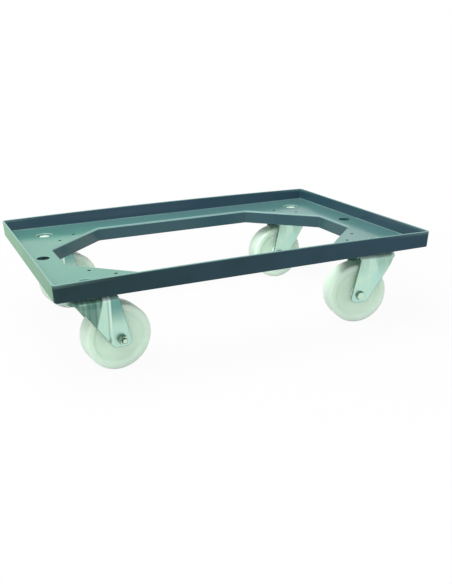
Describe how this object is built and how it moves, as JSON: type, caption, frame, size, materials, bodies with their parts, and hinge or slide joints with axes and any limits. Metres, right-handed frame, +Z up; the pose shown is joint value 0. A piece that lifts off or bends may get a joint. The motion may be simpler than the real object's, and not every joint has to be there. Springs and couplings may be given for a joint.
{
  "type": "platform dolly",
  "caption": "Open-deck rectangular transport dolly with a raised rim for a stacking crate, carried on swivel casters with solid plastic wheels.",
  "frame": {"origin": "on the floor, under the middle of the deck frame", "axes": "+X along the long side, +Y across it towards the far long side of the picture, +Z up"},
  "size_m": [0.6098, 0.4102, 0.1599],
  "materials": {
    "frame_plastic": "moulded satin, dark slate grey",
    "fork_zinc": "bright zinc plated pressed sheet",
    "race_dark": "dark phosphated steel",
    "bolt_zinc": "zinc plated fasteners",
    "bearing_steel": "polished bearing balls",
    "wheel_polyamide": "natural white polyamide, satin"
  },
  "bodies": {
    "frame": {"deck_frame": "frame_plastic", "mounting_bolt_front_left": "bolt_zinc", "mounting_nut_front_left": "bolt_zinc", "upper_race_front_left": "race_dark", "lower_race_front_left": "fork_zinc", "kingpin_front_left": "bolt_zinc", "mounting_bolt_front_right": "bolt_zinc", "mounting_nut_front_right": "bolt_zinc", "upper_race_front_right": "race_dark", "lower_race_front_right": "fork_zinc", "kingpin_front_right": "bolt_zinc", "mounting_bolt_rear_left": "bolt_zinc", "mounting_nut_rear_left": "bolt_zinc", "upper_race_rear_left": "race_dark", "lower_race_rear_left": "fork_zinc", "kingpin_rear_left": "bolt_zinc", "mounting_bolt_rear_right": "bolt_zinc", "mounting_nut_rear_right": "bolt_zinc", "upper_race_rear_right": "race_dark", "lower_race_rear_right": "fork_zinc", "kingpin_rear_right": "bolt_zinc"},
    "caster_front_left": {"fork_front_left": "fork_zinc", "upper_balls_front_left": "bearing_steel", "lower_balls_front_left": "bearing_steel", "axle_bolt_front_left": "bolt_zinc", "axle_nut_front_left": "bolt_zinc", "axle_sleeve_front_left": "bolt_zinc"},
    "rolling_front_left": {"wheel_front_left": "wheel_polyamide"},
    "caster_front_right": {"fork_front_right": "fork_zinc", "upper_balls_front_right": "bearing_steel", "lower_balls_front_right": "bearing_steel", "axle_bolt_front_right": "bolt_zinc", "axle_nut_front_right": "bolt_zinc", "axle_sleeve_front_right": "bolt_zinc"},
    "rolling_front_right": {"wheel_front_right": "wheel_polyamide"},
    "caster_rear_left": {"fork_rear_left": "fork_zinc", "upper_balls_rear_left": "bearing_steel", "lower_balls_rear_left": "bearing_steel", "axle_bolt_rear_left": "bolt_zinc", "axle_nut_rear_left": "bolt_zinc", "axle_sleeve_rear_left": "bolt_zinc"},
    "rolling_rear_left": {"wheel_rear_left": "wheel_polyamide"},
    "caster_rear_right": {"fork_rear_right": "fork_zinc", "upper_balls_rear_right": "bearing_steel", "lower_balls_rear_right": "bearing_steel", "axle_bolt_rear_right": "bolt_zinc", "axle_nut_rear_right": "bolt_zinc", "axle_sleeve_rear_right": "bolt_zinc"},
    "rolling_rear_right": {"wheel_rear_right": "wheel_polyamide"}
  },
  "joints": [
    {"name": "swivel_front_left", "type": "hinge", "parent": "frame", "child": "caster_front_left", "pos_m": [-0.245, -0.144, 0.1145], "axis": [0, 0, 1], "continuous": true},
    {"name": "wheel_spin_front_left", "type": "hinge", "parent": "caster_front_left", "child": "rolling_front_left", "pos_m": [-0.2082, -0.14013, 0.05], "axis": [-0.1045, 0.9945, 0], "continuous": true},
    {"name": "swivel_front_right", "type": "hinge", "parent": "frame", "child": "caster_front_right", "pos_m": [0.245, -0.144, 0.1145], "axis": [0, 0, 1], "continuous": true},
    {"name": "wheel_spin_front_right", "type": "hinge", "parent": "caster_front_right", "child": "rolling_front_right", "pos_m": [0.20856, -0.13758, 0.05], "axis": [-0.1736, -0.9848, 0], "continuous": true},
    {"name": "swivel_rear_left", "type": "hinge", "parent": "frame", "child": "caster_rear_left", "pos_m": [-0.245, 0.144, 0.1145], "axis": [0, 0, 1], "continuous": true},
    {"name": "wheel_spin_rear_left", "type": "hinge", "parent": "caster_rear_left", "child": "rolling_rear_left", "pos_m": [-0.20856, 0.15043, 0.05], "axis": [-0.1736, 0.9848, 0], "continuous": true},
    {"name": "swivel_rear_right", "type": "hinge", "parent": "frame", "child": "caster_rear_right", "pos_m": [0.245, 0.144, 0.1145], "axis": [0, 0, 1], "continuous": true},
    {"name": "wheel_spin_rear_right", "type": "hinge", "parent": "caster_rear_right", "child": "rolling_rear_right", "pos_m": [0.208, 0.144, 0.05], "axis": [0, -1, 0], "continuous": true}
  ]
}
